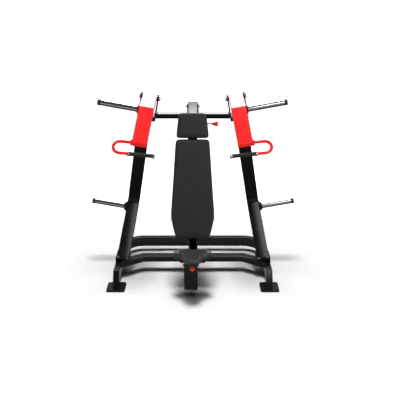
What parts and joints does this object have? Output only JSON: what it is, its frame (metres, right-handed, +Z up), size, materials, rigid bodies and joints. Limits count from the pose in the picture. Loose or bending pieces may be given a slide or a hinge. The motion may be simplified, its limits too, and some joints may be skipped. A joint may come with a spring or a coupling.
{
  "type": "plate-loaded shoulder press machine",
  "caption": "Plate-loaded seated shoulder press machine with independent lever arms, reclined pads, a sliding head pad and a seat raised on parallel links.",
  "frame": {"origin": "on the floor, at the middle of the bounding box, midway between the side frames", "axes": "+Z up, +Y towards the rear of the machine, +X towards the right as seen by a person facing the machine's front"},
  "size_m": [1.9868, 1.073, 1.6888],
  "materials": {
    "black_paint": "gloss",
    "red_paint": "gloss",
    "chrome": "polished",
    "steel": "zinc plated",
    "vinyl": "fine grain, semi-matte",
    "rubber": "matte",
    "black_plastic": "matte",
    "board": "black-stained plywood",
    "red_plastic": "gloss"
  },
  "bodies": {
    "frame": {"base_tube": "black_paint", "front_cross_tube": "black_paint", "front_legs": "black_paint", "rear_legs": "black_paint", "foot_plates": "black_paint", "foot_rubbers": "rubber", "saddles": "black_paint", "upright_flanges": "black_paint", "upright_l": "black_paint", "upright_r": "black_paint", "flange_bolts": "steel", "head_beams": "black_paint", "clevis_spacers": "black_paint", "clevis_plates": "black_paint", "arm_axles": "steel", "axle_nuts": "steel", "top_cross_tube": "black_paint", "arm_stops": "rubber", "storage_horns": "chrome", "storage_collars": "black_paint", "storage_caps": "black_plastic", "front_post": "black_paint", "spine": "black_paint", "top_link": "black_paint", "link_brackets": "black_paint", "bracket_bolts": "steel", "link_end_cap": "black_plastic", "link_cheeks": "black_paint", "rear_link_bolts": "steel", "pin_housing": "black_paint", "back_board": "board", "back_pad": "vinyl"},
    "head_rest": {"head_stem": "chrome", "head_board": "board", "head_pad": "vinyl"},
    "head_release": {"head_pin": "chrome", "head_knob": "red_plastic"},
    "arm_left": {"arm_l": "red_paint", "arm_hub_l": "steel", "horn_l": "chrome", "horn_collar_l": "black_paint", "horn_cap_l": "black_plastic", "handle_l": "red_paint", "collars_l": "chrome", "grip_l": "rubber"},
    "arm_right": {"arm_r": "red_paint", "arm_hub_r": "steel", "horn_r": "chrome", "horn_collar_r": "black_paint", "horn_cap_r": "black_plastic", "handle_r": "red_paint", "collars_r": "chrome", "grip_r": "rubber"},
    "seat_upper_link": {"upper_link": "black_paint"},
    "seat_lower_link": {"lower_link": "black_paint"},
    "seat_carriage": {"seat_column": "black_paint", "front_link_bolts": "steel", "seat_board": "board", "seat_pad": "vinyl"},
    "seat_release": {"seat_pin": "red_plastic"}
  },
  "joints": [
    {"name": "arm_left_pivot", "type": "hinge", "parent": "frame", "child": "arm_left", "pos_m": [-0.40213, 0.4405, 1.63417], "axis": [-0.9833, 0, 0.1822], "range_deg": [0, 50]},
    {"name": "arm_right_pivot", "type": "hinge", "parent": "frame", "child": "arm_right", "pos_m": [0.40213, 0.4405, 1.63417], "axis": [-0.9833, 0, -0.1822], "range_deg": [0, 50]},
    {"name": "head_rest_slide", "type": "slide", "parent": "frame", "child": "head_rest", "axis": [0, 0.304, 0.9527], "range_m": [0, 0.07]},
    {"name": "head_pin_pull", "type": "slide", "parent": "frame", "child": "head_release", "axis": [1, 0, 0], "range_m": [0, 0.012], "stiffness_N_per_m": 900},
    {"name": "seat_swing", "type": "hinge", "parent": "frame", "child": "seat_upper_link", "pos_m": [0, -0.1005, 0.377], "axis": [-1, 0, 0], "range_deg": [0, 26.6]},
    {"name": "seat_lower_swing", "type": "hinge", "parent": "frame", "child": "seat_lower_link", "pos_m": [0, -0.1005, 0.23], "axis": [-1, 0, 0], "range_deg": [0, 26.6]},
    {"name": "seat_level", "type": "hinge", "parent": "seat_upper_link", "child": "seat_carriage", "pos_m": [0, -0.38078, 0.31075], "axis": [1, 0, 0], "range_deg": [0, 26.6]},
    {"name": "seat_pin_pull", "type": "slide", "parent": "seat_carriage", "child": "seat_release", "axis": [0, -1, 0], "range_m": [0, 0.015], "stiffness_N_per_m": 900}
  ],
  "couplings": [
    {"joint": "seat_lower_swing", "follows": "seat_swing", "ratio": 1},
    {"joint": "seat_level", "follows": "seat_swing", "ratio": 1}
  ]
}
